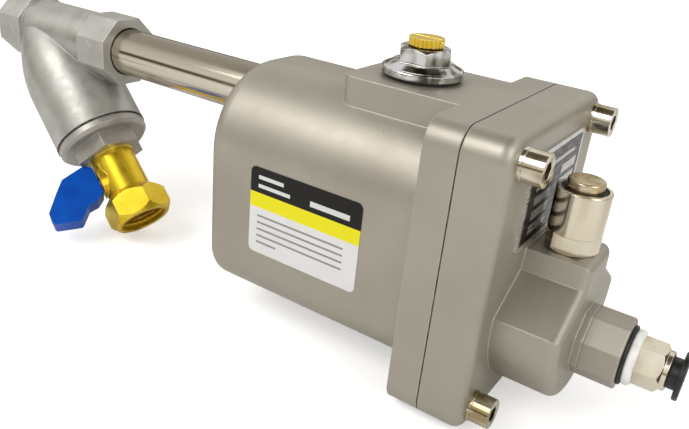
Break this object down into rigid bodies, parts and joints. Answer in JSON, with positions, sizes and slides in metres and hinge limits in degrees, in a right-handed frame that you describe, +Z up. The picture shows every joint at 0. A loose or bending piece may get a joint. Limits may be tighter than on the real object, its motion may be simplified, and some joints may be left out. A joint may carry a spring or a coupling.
{
  "type": "automatic drain valve",
  "caption": "Automatic condensate drain for compressed air: Y strainer with ball blow-down valve, inlet pipe, cast float housing, cover with drain valve, test button and push-in tube outlet",
  "frame": {"origin": "centre of the strainer's G 1/2 inlet mouth, on the pipe axis", "axes": "+X along the inlet pipe from the strainer to the drain outlet, +Z up, +Y to the left of +X; the test button, bleed screw and top plug face +Z"},
  "size_m": [0.3263, 0.0874, 0.1148],
  "materials": {
    "cast_aluminium": "blasted cast aluminium, satin",
    "cast_stainless": "blasted investment-cast stainless steel, satin",
    "polished_pipe": "polished stainless tube",
    "brass": "turned brass",
    "chrome": "bright chrome plating",
    "blue_paint": "blue baked enamel on a die-cast lever",
    "steel": "zinc-nickel plated steel",
    "stainless": "stainless steel",
    "nickel": "nickel-plated brass",
    "black_rubber": "moulded rubber",
    "ptfe": "white PTFE",
    "fibre_gasket": "dark fibre-rubber gasket",
    "black_plastic": "black acetal",
    "piston_plastic": "natural acetal",
    "float_plastic": "closed-cell float",
    "name_plate": "printed anodised sheet",
    "label_film": "printed vinyl film"
  },
  "bodies": {
    "body": {"adapter_ring": "black_rubber", "ball_seats": "ptfe", "ball_valve_body": "brass", "bracket_screw": "steel", "button_lip_seal": "black_rubber", "button_spring": "stainless", "button_valve_body": "nickel", "cap_gasket": "fibre_gasket", "cover": "cast_aluminium", "cover_gasket": "fibre_gasket", "cover_screws": "steel", "cylinder_cap": "steel", "fitting_body": "nickel", "fitting_ring": "ptfe", "grab_ring": "stainless", "housing": "cast_aluminium", "inlet_pipe": "polished_pipe", "lever_bracket": "stainless", "main_seat": "brass", "name_plate": "name_plate", "outlet_adapter": "cast_aluminium", "pilot_nozzle": "brass", "piston_spring": "stainless", "pivot_pin": "steel", "plug_ring": "black_rubber", "seat_retainer": "brass", "side_label": "label_film", "spring_washers": "steel", "stem_packing": "ptfe", "strainer_body": "cast_stainless", "strainer_cap": "cast_stainless", "strainer_screen": "stainless", "top_plug": "chrome", "tube_ring": "black_rubber"},
    "valve_stem": {"valve_stem": "steel", "valve_handle": "blue_paint", "handle_screw": "steel", "valve_ball": "chrome"},
    "bleed_screw": {"bleed_screw": "brass"},
    "test_button": {"test_button": "nickel"},
    "release_collar": {"release_collar": "black_plastic"},
    "drain_piston": {"drain_piston": "piston_plastic", "piston_ring": "black_rubber", "valve_disc": "black_rubber"},
    "pilot_pin": {"pilot_pin": "stainless"},
    "float": {"float_lever": "stainless", "float_ball": "float_plastic"}
  },
  "joints": [
    {"name": "handle_turn", "type": "hinge", "parent": "body", "child": "valve_stem", "pos_m": [0.07942, -0.01032, -0.05568], "axis": [0.3831, 0.8832, 0.2705], "range_deg": [0, 90]},
    {"name": "bleed_turn", "type": "hinge", "parent": "body", "child": "bleed_screw", "pos_m": [0.2213, 0, 0.03], "axis": [0, 0, 1], "range_deg": [0, 360]},
    {"name": "button_press", "type": "slide", "parent": "body", "child": "test_button", "axis": [0, 0, -1], "range_m": [0, 0.0016], "stiffness_N_per_m": 1500, "springref_m": -0.002, "deforming": ["button_spring"]},
    {"name": "collar_press", "type": "slide", "parent": "body", "child": "release_collar", "axis": [-1, 0, 0], "range_m": [0, 0.0012], "stiffness_N_per_m": 1500, "springref_m": -0.001},
    {"name": "piston_open", "type": "slide", "parent": "body", "child": "drain_piston", "axis": [-1, 0, 0], "range_m": [0, 0.004], "stiffness_N_per_m": 2500, "springref_m": -0.003, "deforming": ["piston_spring"]},
    {"name": "float_rise", "type": "hinge", "parent": "body", "child": "float", "pos_m": [0.2475, 0, -0.02], "axis": [0, 1, 0], "range_deg": [0, 18]},
    {"name": "pilot_push", "type": "slide", "parent": "body", "child": "pilot_pin", "axis": [1, 0, 0], "range_m": [0, 0.00288]}
  ],
  "couplings": [
    {"joint": "pilot_push", "follows": "float_rise", "m_per_rad": 0.009}
  ]
}
